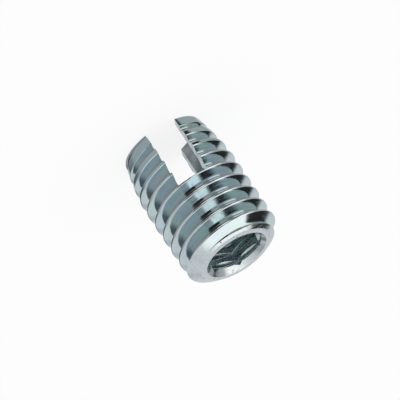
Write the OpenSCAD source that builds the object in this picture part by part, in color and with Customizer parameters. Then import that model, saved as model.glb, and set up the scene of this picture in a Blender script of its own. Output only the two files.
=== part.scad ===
// Self-tapping threaded insert: a turned steel bush with a coarse outer thread,
// a hexagon socket and a tapped bore through its middle, and a cutting slot across its tip.
// It stands on the two ears beside the slot, with the drive end up. Millimetres.

/* [Body] */
// Length from the tips of the ears to the drive face
body_length = 13.75; // [12:0.25:18]
// Radius of the flat drive face
face_radius = 3.5; // [3.35:0.05:3.6]
// Radius at which the shoulder round the drive face turns into the crown
shoulder_radius = 3.75; // [3.65:0.05:4]
// Slope of the shoulder from a plane across the axis
shoulder_slope = 14; // [5:1:25]
// Slope of the crown from a plane across the axis
crown_slope = 31.5; // [25:0.5:40]

/* [Outer thread] */
// Radius over the crests
crest_radius = 4.98; // [4.8:0.02:5.2]
// Radius at the bottom of the groove
root_radius = 4.04; // [3.9:0.02:4.2]
// Distance between neighbouring turns
thread_pitch = 1.5; // [1.3:0.1:1.8]
// Width of a full crest along the axis
crest_width = 0.16; // [0.1:0.02:0.3]
// Angle of each flank from a plane across the axis
flank_angle = 30; // [27:1:32]
// Height of a crest above the tips, on the slot's +X side
crest_height = 0.71; // [0:0.01:1.5]
// Facets in one turn
turn_facets = 40; // [24:4:48]

/* [Tapered tip] */
// Radius over the crests at the very tip
tip_radius = 4.15; // [4.1:0.05:4.6]
// Height at which the crests reach their full radius
taper_length = 5.6; // [3:0.2:7]

/* [Cutting slot] */
// Width of the slot
slot_width = 3.15; // [2:0.05:3.4]
// Depth of the slot from the tip
slot_depth = 6.7; // [4:0.05:8]

/* [Bore and socket] */
// Radius of the bore, the minor radius of its fine thread
bore_radius = 2.5; // [2.3:0.05:2.5]
// Radius of the thread-free relief at the tip
relief_radius = 3.0; // [2.8:0.05:3.2]
// Depth of the relief
relief_depth = 4.3; // [1:0.1:6]
// Width of the hexagon socket across its flats
hex_across_flats = 5.05; // [5.02:0.01:5.1]
// Depth of the hexagon socket
hex_depth = 3.5; // [2:0.5:4.5]
// Radius of the countersunk mouth at the drive face
mouth_radius = 3.2; // [2.95:0.05:3.3]
// Turn of the hexagon's corners from the line of the slot
hex_turn = 4; // [0:1:30]

/* [Hidden] */
$fn = 96;
eps = 0.5;                       // how far a cutter runs past the face it opens
half_crest = crest_width / 2;
half_groove = thread_pitch / 2
    - half_crest - (crest_radius - root_radius) * tan(flank_angle);
turns_below = 1;                 // turns of thread started under the tip, then cut off
turn_count = ceil(body_length / thread_pitch) + 2 * turns_below;
row_count = turn_count * turn_facets;

// Radius over the crests at a height: full above the taper, curving in to the tip below it
function crest_at(z) = z >= taper_length ? crest_radius
    : tip_radius + (crest_radius - tip_radius) * sin(90 * max(z, 0) / taper_length);

// Half the width of a crest that has been turned down to a radius
function half_crest_at(r) = half_crest + (crest_radius - r) * tan(flank_angle);

// Height of the middle of the crest at a row of the helix
function crest_z(row) =
    crest_height + thread_pitch * (row / turn_facets - turns_below - 1);

// A point at a radius and height, on the row's own half-plane
function on_row(row, r, z) =
    let (a = 360 * row / turn_facets) [r * cos(a), r * sin(a), z];

// The four corners of the thread's section on one row, from the lower groove to the upper
function row_points(row) =
    let (
        z = crest_z(row),
        half_top = half_crest_at(crest_at(z)),
        half_foot = thread_pitch / 2 - half_groove
    ) [
        on_row(row, root_radius, z - half_foot),
        on_row(row, crest_at(z - half_top), z - half_top),
        on_row(row, crest_at(z + half_top), z + half_top),
        on_row(row, root_radius, z + half_foot)
    ];

// Two triangles between a pair of corners on one row and the same pair on the next
function band(low, high) = [[low, high, high + 4], [low, high + 4, low + 4]];

// Threaded blank: one closed skin that follows the helix, longer than the body at both ends
module threaded_blank() {
    points = [for (row = [0:row_count]) each row_points(row)];
    foot = len(points);
    top = foot + 1;
    one_turn = 4 * turn_facets;
    last = 4 * row_count;
    skin = [
        for (row = [0:row_count - 1], corner = [0:2])
            each band(4 * row + corner, 4 * row + corner + 1)
    ];
    grooves = [
        for (row = [0:row_count - turn_facets - 1])
            each band(4 * row + 3, 4 * row + one_turn)
    ];
    foot_fan = [for (row = [0:turn_facets - 1]) [foot, 4 * row, 4 * row + 4]];
    top_fan = [
        for (row = [row_count - turn_facets:row_count - 1])
            [top, 4 * row + 7, 4 * row + 3]
    ];
    ends = [
        [foot, one_turn, 3, 2, 1, 0],
        [top, last - one_turn + 3, last, last + 1, last + 2, last + 3]
    ];
    polyhedron(
        points = concat(points, [[0, 0, crest_z(0)], [0, 0, crest_z(row_count)]]),
        faces = concat(skin, grooves, foot_fan, top_fan, ends),
        convexity = 10
    );
}

// What the lathe leaves: square at the tip, with a shoulder and a crown round the drive face
module turned_envelope() {
    skirt = crest_radius + eps;
    shoulder_z = body_length - (shoulder_radius - face_radius) * tan(shoulder_slope);
    skirt_z = shoulder_z - (skirt - shoulder_radius) * tan(crown_slope);
    rotate_extrude()
        polygon([
            [0, 0], [skirt, 0], [skirt, skirt_z],
            [shoulder_radius, shoulder_z], [face_radius, body_length], [0, body_length]
        ]);
}

// The bore right through, with its relief at the tip and its countersunk mouth
module bore() {
    translate([0, 0, -eps])
        cylinder(r = bore_radius, h = body_length + 2 * eps);
    translate([0, 0, -eps])
        cylinder(r = relief_radius, h = relief_depth + eps);
    mouth_depth = mouth_radius - bore_radius;
    translate([0, 0, body_length - mouth_depth])
        cylinder(r1 = bore_radius, r2 = mouth_radius + eps, h = mouth_depth + eps);
}

// Hexagon socket, with two of its corners close to the line of the slot
module hexagon_socket() {
    translate([0, 0, body_length - hex_depth])
        rotate([0, 0, hex_turn])
            cylinder(r = hex_across_flats / sqrt(3), h = hex_depth + eps, $fn = 6);
}

// Cutting slot straight across the tip, along X
module cutting_slot() {
    reach = 2 * crest_radius + 2 * eps;
    translate([-reach / 2, -slot_width / 2, -eps])
        cube([reach, slot_width, slot_depth + eps]);
}

module insert() {
    color("lightsteelblue")
        difference() {
            intersection() {
                threaded_blank();
                turned_envelope();
            }
            bore();
            hexagon_socket();
            cutting_slot();
        }
}

insert();
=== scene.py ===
"""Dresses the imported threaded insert: thread, crown, socket and slot as one smooth steel body.

The body is built from solids in code, cut with booleans, and stands for the CAD node "insert".
Lengths of the insert are in millimetres, and MM turns them into Blender's metres. Those of the
camera and the studio are in metres.
"""
import math

import bpy
import numpy as np
from mathutils import Matrix, Vector


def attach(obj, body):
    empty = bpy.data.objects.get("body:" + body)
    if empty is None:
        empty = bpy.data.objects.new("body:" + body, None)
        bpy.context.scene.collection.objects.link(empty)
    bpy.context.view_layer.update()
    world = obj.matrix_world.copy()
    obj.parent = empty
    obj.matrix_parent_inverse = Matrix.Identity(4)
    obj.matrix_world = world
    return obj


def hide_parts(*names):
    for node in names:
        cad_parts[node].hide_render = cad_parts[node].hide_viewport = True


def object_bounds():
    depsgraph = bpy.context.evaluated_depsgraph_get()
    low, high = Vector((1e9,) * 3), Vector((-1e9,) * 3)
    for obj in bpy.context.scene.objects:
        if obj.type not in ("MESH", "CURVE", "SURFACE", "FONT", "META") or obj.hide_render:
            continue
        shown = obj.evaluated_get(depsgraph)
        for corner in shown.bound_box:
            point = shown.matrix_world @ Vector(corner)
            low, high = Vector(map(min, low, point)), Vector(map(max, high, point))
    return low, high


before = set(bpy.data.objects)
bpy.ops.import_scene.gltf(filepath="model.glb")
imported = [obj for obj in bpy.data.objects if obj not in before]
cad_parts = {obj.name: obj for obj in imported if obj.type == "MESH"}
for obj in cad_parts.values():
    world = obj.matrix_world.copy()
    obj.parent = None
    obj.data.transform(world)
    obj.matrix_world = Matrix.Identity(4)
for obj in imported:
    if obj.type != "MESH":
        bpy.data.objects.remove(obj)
cad_low, cad_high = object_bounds()

MM = 0.001

# Body, from the CAD box
LENGTH = (cad_high.z - cad_low.z) / MM
CREST_RADIUS = cad_high.x / MM

# Outer thread, right-hand
ROOT_RADIUS = 4.04
PITCH = 1.5
CREST_WIDTH = 0.16
FLANK_ANGLE = math.radians(30)
CREST_HEIGHT = 0.71          # height of a crest on the +X side
CREST_ROUNDING = 0.06
ROOT_ROUNDING = 0.07
THREAD_STEPS = 180           # to a turn
TIP_RADIUS = 4.15
TAPER_LENGTH = 5.6

# Drive end, from the socket's mouth outwards
MOUTH_RADIUS = 3.2
FACE_RADIUS = 3.5
SHOULDER_RADIUS = 3.75
SHOULDER_SLOPE = math.radians(14)
CROWN_SLOPE = math.radians(31.5)
CROWN_ROUNDING = 0.07        # how far a rounded corner reaches along each side
CROWN_STEPS = 240            # to a turn
CORNER_STEPS = 5

# Bore and hexagon socket
BORE_RADIUS = 2.5
BORE_PITCH = 1.0
BORE_GROOVE_RADIUS = 3.0
BORE_GROOVE_FLAT = 0.12
BORE_GROOVE_HEIGHT = 0.52    # height of a groove on the +X side
BORE_GROOVE_ROUNDING = 0.05
BORE_LAND_ROUNDING = 0.03
BORE_STEPS = 144             # to a turn
RELIEF_RADIUS = 3.0
RELIEF_DEPTH = 4.3
HEX_FLATS = 5.05
HEX_DEPTH = 3.5
HEX_TURN = math.radians(4)

# Cutting slot
SLOT_WIDTH = 3.15
SLOT_DEPTH = 6.7

# Cutters
OVERSHOOT = 0.6              # how far a cutter runs past the face it opens
CLEAR_RADIUS = CREST_RADIUS + OVERSHOOT
BORE_OVERLAP = 2             # how far the bore's cutter runs down into the relief
MOUTH_OVERLAP = 0.3          # how far the mouth's cone runs on past the bore's wall
CUTTER_STEPS = 180           # to a turn

# Rows of a thread's skin, which only say where its section is sampled
ROOT_WIDTH, LAND_WIDTH = 0.254, 0.302    # about the flats between flanks, outside and in the bore
CORNER_ROWS = [0, 0.02, 0.045, 0.08, 0.13]   # from the crest's corner
FLANK_FIRST, FLANK_LAST, FLANK_ROWS = 0.2, -0.16, 5   # from the corner and from the foot
FOOT_ROWS = [-0.1, -0.05, 0, 0.04]           # from the flank's foot
OUTER_SPACING, BORE_SPACING = 1.0, 0.5       # factors on those distances

SHARP_ANGLE = math.radians(24)               # edges that turn by more than this stay sharp


# ---------------------------------------------------------------- solids

def new_object(name, points, faces, material=None):
    """A linked mesh object from points in millimetres."""
    mesh = bpy.data.meshes.new(name)
    mesh.from_pydata((np.asarray(points) * MM).tolist(), [], faces)
    mesh.validate()
    mesh.update()
    obj = bpy.data.objects.new(name, mesh)
    bpy.context.scene.collection.objects.link(obj)
    if material:
        mesh.materials.append(material)
    return obj


def smooth_min(a, b, width):
    """The lower of two values, with the corner between them rounded over a width."""
    overlap = np.maximum(width - np.abs(a - b), 0) / width
    return np.minimum(a, b) - overlap * overlap * width / 4


def smooth_max(a, b, width):
    return -smooth_min(-a, -b, width)


def helix_solid(name, pitch, phase, offsets, radius_at, z_from, z_to, steps, material):
    """A closed solid whose skin follows a right-hand helix.

    offsets are heights over one pitch, measured from the middle of the thread's feature,
    and radius_at(offset, z) gives the skin's radius there. There is a spare turn at each end.
    """
    per_turn = len(offsets)
    first = math.floor((z_from - phase) / pitch) - 1
    turns = math.ceil((z_to - z_from) / pitch) + 2
    rows = turns * per_turn
    row = np.arange(rows + per_turn + 1)
    turn_of_row = row // per_turn
    offset_of_row = np.asarray(offsets)[row % per_turn]
    centre_of_row = phase + pitch * (first + turn_of_row)
    points = []
    start = []
    for step in range(steps):
        count = rows + per_turn + 1 if step == 0 else rows + 1
        angle = 2 * math.pi * step / steps
        z = centre_of_row[:count] + offset_of_row[:count] + pitch * step / steps
        radius = radius_at(offset_of_row[:count], z)
        start.append(len(points))
        points.extend(zip(radius * math.cos(angle), radius * math.sin(angle), z))
    faces = []
    for step in range(steps):
        here = start[step]
        wraps = step == steps - 1
        there = start[0] + per_turn if wraps else start[step + 1]
        for r in range(rows):
            faces.append((here + r, there + r, there + r + 1, here + r + 1))
    foot_loop = [start[step] for step in range(steps)] + list(range(start[0] + per_turn, start[0], -1))
    head_loop = (
        [start[0] + rows + r for r in range(per_turn, 0, -1)]
        + [start[step] + rows for step in range(steps)]
    )
    foot = len(points)
    points.append((0, 0, points[0][2]))
    head = len(points)
    points.append((0, 0, points[start[0] + rows + per_turn][2]))
    for a, b in zip(foot_loop, foot_loop[1:] + foot_loop[:1]):
        faces.append((foot, b, a))
    for a, b in zip(head_loop, head_loop[1:] + head_loop[:1]):
        faces.append((head, a, b))
    return new_object(name, points, faces, material)


def turned_solid(name, profile, steps, material):
    """A solid of revolution. The profile runs from foot to head, with both ends on the axis."""
    points = [(0, 0, profile[0][1])]
    for radius, z in profile[1:-1]:
        for step in range(steps):
            angle = 2 * math.pi * step / steps
            points.append((radius * math.cos(angle), radius * math.sin(angle), z))
    points.append((0, 0, profile[-1][1]))
    rings = len(profile) - 2
    head = len(points) - 1
    faces = []
    for step in range(steps):
        after = (step + 1) % steps
        faces.append((0, 1 + after, 1 + step))
        for ring in range(rings - 1):
            low = 1 + ring * steps
            high = low + steps
            faces.append((low + step, low + after, high + after, high + step))
        last = 1 + (rings - 1) * steps
        faces.append((last + step, last + after, head))
    return new_object(name, points, faces, material)


def prism(name, outline, z_from, z_to, material):
    """A straight solid over an outline that runs anticlockwise."""
    count = len(outline)
    points = [(x, y, z_from) for x, y in outline] + [(x, y, z_to) for x, y in outline]
    faces = [tuple(reversed(range(count))), tuple(range(count, 2 * count))]
    for i in range(count):
        j = (i + 1) % count
        faces.append((i, j, count + j, count + i))
    return new_object(name, points, faces, material)


def combine(body, tools):
    """Applies each (operation, tool) to the body and removes the tools."""
    for operation, tool in tools:
        step = body.modifiers.new(tool.name, "BOOLEAN")
        step.operation = operation
        step.object = tool
        step.solver = "MANIFOLD"
        step.material_mode = "TRANSFER"
    graph = bpy.context.evaluated_depsgraph_get()
    mesh = bpy.data.meshes.new_from_object(body.evaluated_get(graph))
    body.modifiers.clear()
    body.data = mesh
    for _, tool in tools:
        bpy.data.objects.remove(tool)


# ---------------------------------------------------------------- the insert

def thread_offsets(pitch, crest_width, root_width, spacing):
    """Heights over one pitch from the crest's middle, close together at the corners."""
    half = pitch / 2
    flank_from = crest_width / 2
    flank_to = half - root_width / 2
    crest = [0, flank_from / 2]
    corner = flank_from + np.array(CORNER_ROWS) * spacing
    flank = np.linspace(
        flank_from + FLANK_FIRST * spacing, flank_to + FLANK_LAST * spacing, FLANK_ROWS
    )
    foot = flank_to + np.array(FOOT_ROWS) * spacing
    side = np.concatenate([crest, corner, flank, foot])
    return np.concatenate([-side[:0:-1], side, [half]])


def outer_radius(offset, z):
    """Radius of the outer thread's skin, with rounded crests and grooves and a tapered tip."""
    reach = np.abs(offset) - CREST_WIDTH / 2
    flank = CREST_RADIUS - reach / math.tan(FLANK_ANGLE)
    taper = np.sin(np.clip(z / TAPER_LENGTH, 0, 1) * math.pi / 2)
    crest = TIP_RADIUS + (CREST_RADIUS - TIP_RADIUS) * taper
    return smooth_max(smooth_min(flank, crest, CREST_ROUNDING), ROOT_RADIUS, ROOT_ROUNDING)


def bore_radius(offset, z):
    """Radius of the bore's cutter: a plain minor cylinder, with the grooves standing out."""
    reach = np.abs(offset) - BORE_GROOVE_FLAT / 2
    flank = BORE_GROOVE_RADIUS - reach / math.tan(FLANK_ANGLE)
    groove = smooth_min(flank, BORE_GROOVE_RADIUS, BORE_GROOVE_ROUNDING)
    return smooth_max(groove, BORE_RADIUS, BORE_LAND_ROUNDING)


def crown_profile():
    """The drive end in section, from outside the crests up to the flat face, corners rounded."""
    shoulder_z = LENGTH - (SHOULDER_RADIUS - FACE_RADIUS) * math.tan(SHOULDER_SLOPE)
    foot_z = shoulder_z - (CLEAR_RADIUS - SHOULDER_RADIUS) * math.tan(CROWN_SLOPE)
    corners = [
        (CLEAR_RADIUS, foot_z), (SHOULDER_RADIUS, shoulder_z), (FACE_RADIUS, LENGTH), (0, LENGTH),
    ]
    path = [corners[0]]
    for before, corner, after in zip(corners, corners[1:], corners[2:]):
        path += rounded_corner(before, corner, after, CROWN_ROUNDING)
    return path


def rounded_corner(before, corner, after, reach):
    """Points of a short curve that replaces a corner."""
    a = Vector(corner) + (Vector(before) - Vector(corner)).normalized() * reach
    b = Vector(corner) + (Vector(after) - Vector(corner)).normalized() * reach
    points = []
    for i in range(CORNER_STEPS + 1):
        t = i / CORNER_STEPS
        points.append(tuple(a * (1 - t) ** 2 + Vector(corner) * 2 * t * (1 - t) + b * t ** 2))
    return points


def make_hexagon(finish):
    """The socket for the key."""
    corner = HEX_FLATS / math.sqrt(3)
    angles = [HEX_TURN + i * math.pi / 3 for i in range(6)]
    outline = [(corner * math.cos(angle), corner * math.sin(angle)) for angle in angles]
    return prism("hexagon", outline, LENGTH - HEX_DEPTH, LENGTH + OVERSHOOT, finish)


def make_mouth(finish):
    """The countersink, a cone at 45 degrees."""
    reach = MOUTH_RADIUS - BORE_RADIUS + MOUTH_OVERLAP
    profile = [
        (0, LENGTH - reach), (MOUTH_RADIUS - reach, LENGTH - reach),
        (MOUTH_RADIUS + OVERSHOOT, LENGTH + OVERSHOOT), (0, LENGTH + OVERSHOOT),
    ]
    return turned_solid("mouth", profile, CUTTER_STEPS, finish)


def make_relief(finish):
    """The wide, plain part of the bore behind the tip."""
    profile = [
        (0, -OVERSHOOT), (RELIEF_RADIUS, -OVERSHOOT), (RELIEF_RADIUS, RELIEF_DEPTH), (0, RELIEF_DEPTH),
    ]
    return turned_solid("relief", profile, CUTTER_STEPS, finish)


def make_slot(finish):
    """The cutting slot across the tip, along X."""
    half = SLOT_WIDTH / 2
    outline = [
        (-CLEAR_RADIUS, -half), (CLEAR_RADIUS, -half), (CLEAR_RADIUS, half), (-CLEAR_RADIUS, half),
    ]
    return prism("slot", outline, -OVERSHOOT, SLOT_DEPTH, finish)


def make_insert(finish):
    """A threaded blank, cut to length and to the crown, with everything else cut out of it."""
    body = helix_solid(
        "insert_body", PITCH, CREST_HEIGHT,
        thread_offsets(PITCH, CREST_WIDTH, ROOT_WIDTH, OUTER_SPACING), outer_radius,
        0, LENGTH, THREAD_STEPS, finish["thread"],
    )
    profile = [(0, 0), (CLEAR_RADIUS, 0)] + crown_profile() + [(0, LENGTH)]
    envelope = turned_solid("envelope", profile, CROWN_STEPS, finish["crown"])
    bore = helix_solid(
        "bore_thread", BORE_PITCH, BORE_GROOVE_HEIGHT,
        thread_offsets(BORE_PITCH, BORE_GROOVE_FLAT, LAND_WIDTH, BORE_SPACING), bore_radius,
        RELIEF_DEPTH - BORE_OVERLAP, LENGTH + OVERSHOOT, BORE_STEPS, finish["bore"],
    )
    combine(body, [
        ("INTERSECT", envelope),
        ("DIFFERENCE", bore),
        ("DIFFERENCE", make_hexagon(finish["bore"])),
        ("DIFFERENCE", make_mouth(finish["crown"])),
        ("DIFFERENCE", make_relief(finish["relief"])),
        ("DIFFERENCE", make_slot(finish["slot"])),
    ])
    body.data.shade_smooth()
    body.data.set_sharp_from_angle(angle=SHARP_ANGLE)
    return body


# ---------------------------------------------------------------- shader nodes

def math_node(tree, operation, a, b=None):
    """A Math node whose inputs are sockets or numbers."""
    node = tree.nodes.new("ShaderNodeMath")
    node.operation = operation
    for socket, value in zip(node.inputs, (a, b)):
        if value is None:
            continue
        if isinstance(value, (int, float)):
            socket.default_value = value
        else:
            tree.links.new(value, socket)
    return node.outputs[0]


def edge_node(tree, value, middle, softness, rising):
    """Goes smoothly between 0 and 1 where the value passes the edge."""
    node = tree.nodes.new("ShaderNodeMapRange")
    node.interpolation_type = "SMOOTHSTEP"
    node.inputs["From Min"].default_value = middle - softness
    node.inputs["From Max"].default_value = middle + softness
    node.inputs["To Min"].default_value = 0 if rising else 1
    node.inputs["To Max"].default_value = 1 if rising else 0
    tree.links.new(value, node.inputs["Value"])
    return node.outputs["Result"]


def mix_node(tree, factor, a, b):
    """Mixes two colours, each a socket or a tuple."""
    node = tree.nodes.new("ShaderNodeMix")
    node.data_type = "RGBA"
    tree.links.new(factor, node.inputs["Factor"])
    for socket, value in ((node.inputs[6], a), (node.inputs[7], b)):
        if isinstance(value, tuple):
            socket.default_value = (*value, 1)
        else:
            tree.links.new(value, socket)
    return node.outputs[2]


def noise_node(tree, place, scale, detail, w=None):
    """Noise over a place, or over a place and a fourth value."""
    node = tree.nodes.new("ShaderNodeTexNoise")
    node.noise_dimensions = "4D" if w else "3D"
    node.inputs["Scale"].default_value = scale
    node.inputs["Detail"].default_value = detail
    tree.links.new(place, node.inputs["Vector"])
    if w:
        tree.links.new(w, node.inputs["W"])
    return node.outputs["Fac"]


def patches_node(tree, place, scale, detail, middle, softness):
    """Soft-edged patches: 1 where the noise passes the middle value."""
    return edge_node(tree, noise_node(tree, place, scale, detail), middle, softness, True)


def place_nodes(tree):
    """The place on the object in millimetres, its radius from the axis, and its height."""
    coordinates = tree.nodes.new("ShaderNodeTexCoord")
    in_mm = tree.nodes.new("ShaderNodeVectorMath")
    in_mm.operation = "SCALE"
    in_mm.inputs["Scale"].default_value = 1 / MM
    tree.links.new(coordinates.outputs["Object"], in_mm.inputs[0])
    axes = tree.nodes.new("ShaderNodeSeparateXYZ")
    tree.links.new(in_mm.outputs[0], axes.inputs[0])
    x, y, z = axes.outputs
    squares = [math_node(tree, "MULTIPLY", axis, axis) for axis in (x, y)]
    radius = math_node(tree, "SQRT", math_node(tree, "ADD", *squares))
    return in_mm.outputs[0], radius, z


def background_rays(tree):
    """1 for the rays that show a background: from the camera, in gloss and through glass."""
    path = tree.nodes.new("ShaderNodeLightPath")
    seen = math_node(tree, "MAXIMUM", path.outputs["Is Camera Ray"], path.outputs["Is Glossy Ray"])
    return math_node(tree, "MAXIMUM", seen, path.outputs["Is Transmission Ray"])


# ---------------------------------------------------------------- zinc plating

FILM_BLUE = (0.67, 0.82, 0.88)
FILM_GREEN = (0.69, 0.87, 0.83)
FILM_LILAC = (0.72, 0.78, 0.87)
BARE_ZINC = (0.87, 0.9, 0.92)
# Dark colour of dirt and pits, also used for painted shade in the thread's root and on recessed faces
DIRT_AND_SHADE = (0.3, 0.3, 0.3)

# Patches: noise scale per mm, detail, and the noise value and softness of their edge
FILM_PATCHES = (0.45, 3, 0.5, 0.14)
HAZE_PATCHES = (1.3, 3, 0.56, 0.12)
PIT_PATCHES = (3.6, 5, 0.685, 0.05)
GRAIN_PATCHES = (5, 4, 0.5, 0.2)

# Tool lines: noise scale per mm along them, detail, and the noise value and softness of the
# edge of the bright streaks
LINE_SCALE, LINE_DETAIL = 0.35, 2
STREAK_EDGE, STREAK_SOFTNESS = 0.52, 0.1

# How much of the colour each layer takes over where it is fullest
HAZE_SHARE = 0.7
STREAK_SHARE = 0.4
WEAR_SHARE = 0.7
GRAIN_SHARE = 0.02           # on clean plating
GRAIN_SHARE_OF_SPECKS = 0.12

# Painted shade on recessed faces: share of the dark colour all over, and how much more in the haze
RECESS_SHADE_SHARE = 0.7
RECESS_SHADE_HAZE_SHARE = 0.6

# Roughness: shares of the finish's own, and what haze and pits add
SMOOTH_SHARE = 0.7
STREAK_ROUGH_SHARE = 0.4
HAZE_ROUGHNESS = 0.03        # on clean plating
HAZE_ROUGHNESS_OF_SPECKS = 0.1
PIT_ROUGHNESS = 0.3
PIT_DEPTH = 1.5              # next to the depth of the tool lines

# Radii where the crests are worn bright, and under which shade is painted into the thread's root
WEAR_RADIUS, WEAR_SOFTNESS = 4.93, 0.05
ROOT_SHADE_RADIUS, ROOT_SHADE_SOFTNESS = ROOT_RADIUS + 0.03, 0.03


def zinc(name, lines_across, fineness, roughness, specks, line_depth,
         recess_shade=0.0, root_shade=0.0, bareness=0.0):
    """Bright zinc plating with a thin bluish film, over fine tool marks.

    The marks are noise drawn out along the cut, and change across it: with the "radius" on a
    turned face, and with the "height" in a bore. Fineness is how much faster they change across
    the cut than along it. Specks is how much pitting and dirt shows, and bareness how little film
    the plating has taken. The two shade values paint shade into the colour: one all over a
    recessed face, more in its haze patches, and one in the thread's root. The line depth is in mm.
    """
    material = bpy.data.materials.new(name)
    material.use_nodes = True
    tree = material.node_tree
    shader = tree.nodes["Principled BSDF"]
    shader.inputs["Metallic"].default_value = 1
    place, radius, height = place_nodes(tree)
    across = {"radius": radius, "height": height}[lines_across]

    def scaled(value, factor):
        return math_node(tree, "MULTIPLY", value, factor)

    def added(a, b):
        return math_node(tree, "ADD", a, b)

    lines = noise_node(tree, place, LINE_SCALE, LINE_DETAIL, scaled(across, fineness))
    streaks = edge_node(tree, lines, STREAK_EDGE, STREAK_SOFTNESS, True)
    film = patches_node(tree, place, *FILM_PATCHES)
    haze = patches_node(tree, place, *HAZE_PATCHES)
    pits = scaled(patches_node(tree, place, *PIT_PATCHES), specks)
    grain = patches_node(tree, place, *GRAIN_PATCHES)
    worn = edge_node(tree, radius, WEAR_RADIUS, WEAR_SOFTNESS, True)
    # 1 in the thread's root, where shade is painted in
    root = edge_node(tree, radius, ROOT_SHADE_RADIUS, ROOT_SHADE_SOFTNESS, False)

    colour = mix_node(tree, film, FILM_BLUE, FILM_GREEN)
    for share, layer in (
        (scaled(haze, HAZE_SHARE), FILM_LILAC),
        (added(bareness, scaled(streaks, STREAK_SHARE * (1 - bareness))), BARE_ZINC),
        # painted shade on recessed faces, more in the haze patches
        (added(recess_shade * RECESS_SHADE_SHARE, scaled(haze, recess_shade * RECESS_SHADE_HAZE_SHARE)), DIRT_AND_SHADE),
        (scaled(grain, GRAIN_SHARE + GRAIN_SHARE_OF_SPECKS * specks), DIRT_AND_SHADE),
        # painted shade in the thread's root
        (scaled(root, root_shade), DIRT_AND_SHADE),
        (scaled(worn, WEAR_SHARE), BARE_ZINC),
        (pits, DIRT_AND_SHADE),
    ):
        colour = mix_node(tree, share, colour, layer)
    tree.links.new(colour, shader.inputs["Base Color"])

    rough = added(roughness * SMOOTH_SHARE, scaled(streaks, roughness * STREAK_ROUGH_SHARE))
    rough = added(rough, scaled(haze, HAZE_ROUGHNESS + HAZE_ROUGHNESS_OF_SPECKS * specks))
    rough = added(rough, scaled(pits, PIT_ROUGHNESS))
    tree.links.new(rough, shader.inputs["Roughness"])

    marks = math_node(tree, "SUBTRACT", lines, scaled(pits, PIT_DEPTH))
    bump = tree.nodes.new("ShaderNodeBump")
    bump.inputs["Distance"].default_value = line_depth * MM
    tree.links.new(marks, bump.inputs["Height"])
    tree.links.new(bump.outputs["Normal"], shader.inputs["Normal"])
    return material


finish = {
    # The thread's root gets painted shade
    "thread": zinc(
        "zinc_thread", "radius", fineness=11, roughness=0.1, specks=0.3, line_depth=0.006, root_shade=0.45,
    ),
    "crown": zinc(
        "zinc_crown", "radius", fineness=10, roughness=0.17, specks=1, line_depth=0.006, bareness=0.6,
    ),
    # The bore, relief and slot get painted shade all over, the relief most
    "bore": zinc(
        "zinc_bore", "height", fineness=3, roughness=0.25, specks=0.2, line_depth=0.0005, recess_shade=0.25,
    ),
    "relief": zinc(
        "zinc_relief", "height", fineness=6, roughness=0.25, specks=0.3, line_depth=0.004, recess_shade=0.55,
    ),
    "slot": zinc(
        "zinc_slot", "height", fineness=5, roughness=0.22, specks=0.4, line_depth=0.005, recess_shade=0.15,
    ),
}
body = make_insert(finish)
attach(body, "root")
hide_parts("insert")


# ---------------------------------------------------------------- camera

CAMERA_AZIMUTH = math.radians(9.2)       # from +X towards +Y
CAMERA_ELEVATION = math.radians(25.5)
CAMERA_ROLL = math.radians(146.4)
CAMERA_DISTANCE = 0.9
PICTURE_WIDTH = 37.665 * MM              # width of the view at the insert
AIM = Vector((-0.08, 0.01, -0.04)) * MM  # from the middle of the insert's box


def make_camera():
    """A long lens at the photograph's viewing angle, rolled as the photograph is."""
    data = bpy.data.cameras.new("camera")
    data.lens = data.sensor_width * CAMERA_DISTANCE / PICTURE_WIDTH
    camera = bpy.data.objects.new("camera", data)
    bpy.context.scene.collection.objects.link(camera)
    a, e, roll = CAMERA_AZIMUTH, CAMERA_ELEVATION, CAMERA_ROLL
    back = Vector((math.cos(e) * math.cos(a), math.cos(e) * math.sin(a), math.sin(e)))
    level = Vector((-math.sin(a), math.cos(a), 0))
    rise = back.cross(level)
    right = level * math.cos(roll) + rise * math.sin(roll)
    up = rise * math.cos(roll) - level * math.sin(roll)
    camera.matrix_world = (
        Matrix.Translation((cad_low + cad_high) / 2 + AIM + back * CAMERA_DISTANCE)
        @ Matrix((right, up, back)).transposed().to_4x4()
    )
    bpy.context.scene.camera = camera


# ---------------------------------------------------------------- studio

TENT_RADIUS = 0.25
TENT_FROM, TENT_TO = -75, 89  # lowest and highest direction that the tent covers, in degrees
TENT_SIDES = 64
TENT_RINGS = 33

# The studio's cloths. White is a lit softbox, and the others only hang there.
WHITE = (1.1, 1.08, 1.05)
PALE = (0.64, 0.65, 0.67)
GREY = (0.37, 0.39, 0.4)
SHADE = (0.1, 0.11, 0.12)
BLACK = (0.02, 0.02, 0.02)

# Cards in the pale tent, each over the one before: from and to azimuth, from and to elevation,
# softness (half of it for the level edges), cloth. Azimuths run anticlockwise from above, from
# the camera's side. Left and right are the picture's, and low and overhead the insert's.
CARDS = [
    (-150, 125, -90, 50, 6, GREY),      # cloth round the sides
    (100, 150, -40, 20, 12, SHADE),     # flag low on the left
    (-80, -35, -90, -25, 5, BLACK),     # flag low on the right
    (-10, 25, -30, 45, 3, BLACK),       # the dark opening for the camera
    (-30, 5, -90, -30, 3, WHITE),       # card under the camera
    (-85, -50, -15, 55, 4, WHITE),      # softbox on the right
    (-130, 0, 50, 90, 5, WHITE),        # softbox overhead, to the right
    (-150, -120, 20, 55, 4, BLACK),     # flag behind on the right
    (-190, 190, 70, 120, 20, WHITE),    # softbox straight overhead
]


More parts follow.
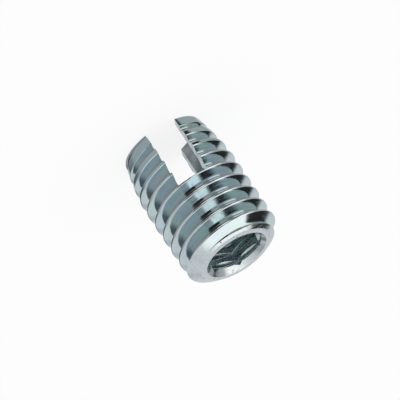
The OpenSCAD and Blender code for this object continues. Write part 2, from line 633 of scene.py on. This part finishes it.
def tent_material():
    """Glows in the colours of the cards, laid out by direction."""
    material = bpy.data.materials.new("tent")
    material.use_nodes = True
    tree = material.node_tree
    tree.nodes.clear()
    place = tree.nodes.new("ShaderNodeTexCoord")
    axes = tree.nodes.new("ShaderNodeSeparateXYZ")
    tree.links.new(place.outputs["Object"], axes.inputs[0])
    turn = math_node(tree, "ARCTAN2", axes.outputs["Y"], axes.outputs["X"])
    azimuth = math_node(tree, "DEGREES", turn)
    height = math_node(tree, "DIVIDE", axes.outputs["Z"], TENT_RADIUS)
    elevation = math_node(tree, "DEGREES", math_node(tree, "ARCSINE", height))
    colour = PALE
    for az_from, az_to, el_from, el_to, softness, cloth in CARDS:
        edges = [
            edge_node(tree, azimuth, az_from, softness, True),
            edge_node(tree, azimuth, az_to, softness, False),
            edge_node(tree, elevation, el_from, softness / 2, True),
            edge_node(tree, elevation, el_to, softness / 2, False),
        ]
        cover = edges[0]
        for edge in edges[1:]:
            cover = math_node(tree, "MULTIPLY", cover, edge)
        colour = mix_node(tree, cover, colour, cloth)
    glow = tree.nodes.new("ShaderNodeEmission")
    tree.links.new(colour, glow.inputs["Color"])
    out = tree.nodes.new("ShaderNodeOutputMaterial")
    tree.links.new(glow.outputs[0], out.inputs["Surface"])
    return material


def make_tent():
    """A round light tent that only reflections see.

    It hides the white world from them, but for an opening at its top and one at its foot.
    """
    radius = TENT_RADIUS / MM
    points = []
    for e in np.radians(np.linspace(TENT_FROM, TENT_TO, TENT_RINGS)):
        for a in np.linspace(0, 2 * math.pi, TENT_SIDES, endpoint=False):
            level = radius * math.cos(e)
            points.append((level * math.cos(a), level * math.sin(a), radius * math.sin(e)))
    faces = []
    for ring in range(TENT_RINGS - 1):
        low, high = ring * TENT_SIDES, (ring + 1) * TENT_SIDES
        for side in range(TENT_SIDES):
            after = (side + 1) % TENT_SIDES
            faces.append((low + side, low + after, high + after, high + side))
    tent = new_object("tent", points, faces, tent_material())
    tent.location = (cad_low + cad_high) / 2
    tent.rotation_euler.z = CAMERA_AZIMUTH
    tent.visible_camera = False
    tent.visible_diffuse = False
    tent.visible_shadow = False


FLOOR_SIZE = 8.0
FLOOR_GAP = 0.02 * MM        # keeps the floor out of the plane of the ears' ends
FLOOR_COLOUR = (0.9, 0.9, 0.9)
FLOOR_WHITENESS = 0.85       # share of the floor that reads as white backdrop
WORLD_LIGHT = (0.98, 0.99, 1)
WORLD_WHITE = (1, 1, 1)


def make_floor():
    """A plain white floor under the ears, which keeps the insert's shadow.

    Reflections look past it to the tent, as if the insert hung inside one.
    """
    half = FLOOR_SIZE / 2 / MM
    corners = [(-half, -half, 0), (half, -half, 0), (half, half, 0), (-half, half, 0)]
    material = bpy.data.materials.new("floor")
    material.use_nodes = True
    tree = material.node_tree
    tree.nodes.clear()
    paint = tree.nodes.new("ShaderNodeBsdfDiffuse")
    paint.inputs["Color"].default_value = (*FLOOR_COLOUR, 1)
    white = tree.nodes.new("ShaderNodeEmission")
    mix = tree.nodes.new("ShaderNodeMixShader")
    share = math_node(tree, "MULTIPLY", background_rays(tree), FLOOR_WHITENESS)
    tree.links.new(share, mix.inputs["Fac"])
    tree.links.new(paint.outputs[0], mix.inputs[1])
    tree.links.new(white.outputs[0], mix.inputs[2])
    out = tree.nodes.new("ShaderNodeOutputMaterial")
    tree.links.new(mix.outputs[0], out.inputs["Surface"])
    floor = new_object("floor", corners, [(0, 1, 2, 3)], material)
    floor.location.z = cad_low.z - FLOOR_GAP
    floor.visible_glossy = False


def make_world():
    """White as a background, and a plain pale light on everything else."""
    world = bpy.data.worlds.new("world")
    bpy.context.scene.world = world
    world.use_nodes = True
    tree = world.node_tree
    light = tree.nodes["Background"]
    light.inputs["Color"].default_value = (*WORLD_LIGHT, 1)
    light.inputs["Strength"].default_value = 1
    white = tree.nodes.new("ShaderNodeBackground")
    white.inputs["Color"].default_value = (*WORLD_WHITE, 1)
    mix = tree.nodes.new("ShaderNodeMixShader")
    tree.links.new(background_rays(tree), mix.inputs["Fac"])
    tree.links.new(light.outputs[0], mix.inputs[1])
    tree.links.new(white.outputs[0], mix.inputs[2])
    tree.links.new(mix.outputs[0], tree.nodes["World Output"].inputs["Surface"])


make_camera()
make_tent()
make_floor()
make_world()

bpy.context.scene.view_settings.view_transform = "Standard"
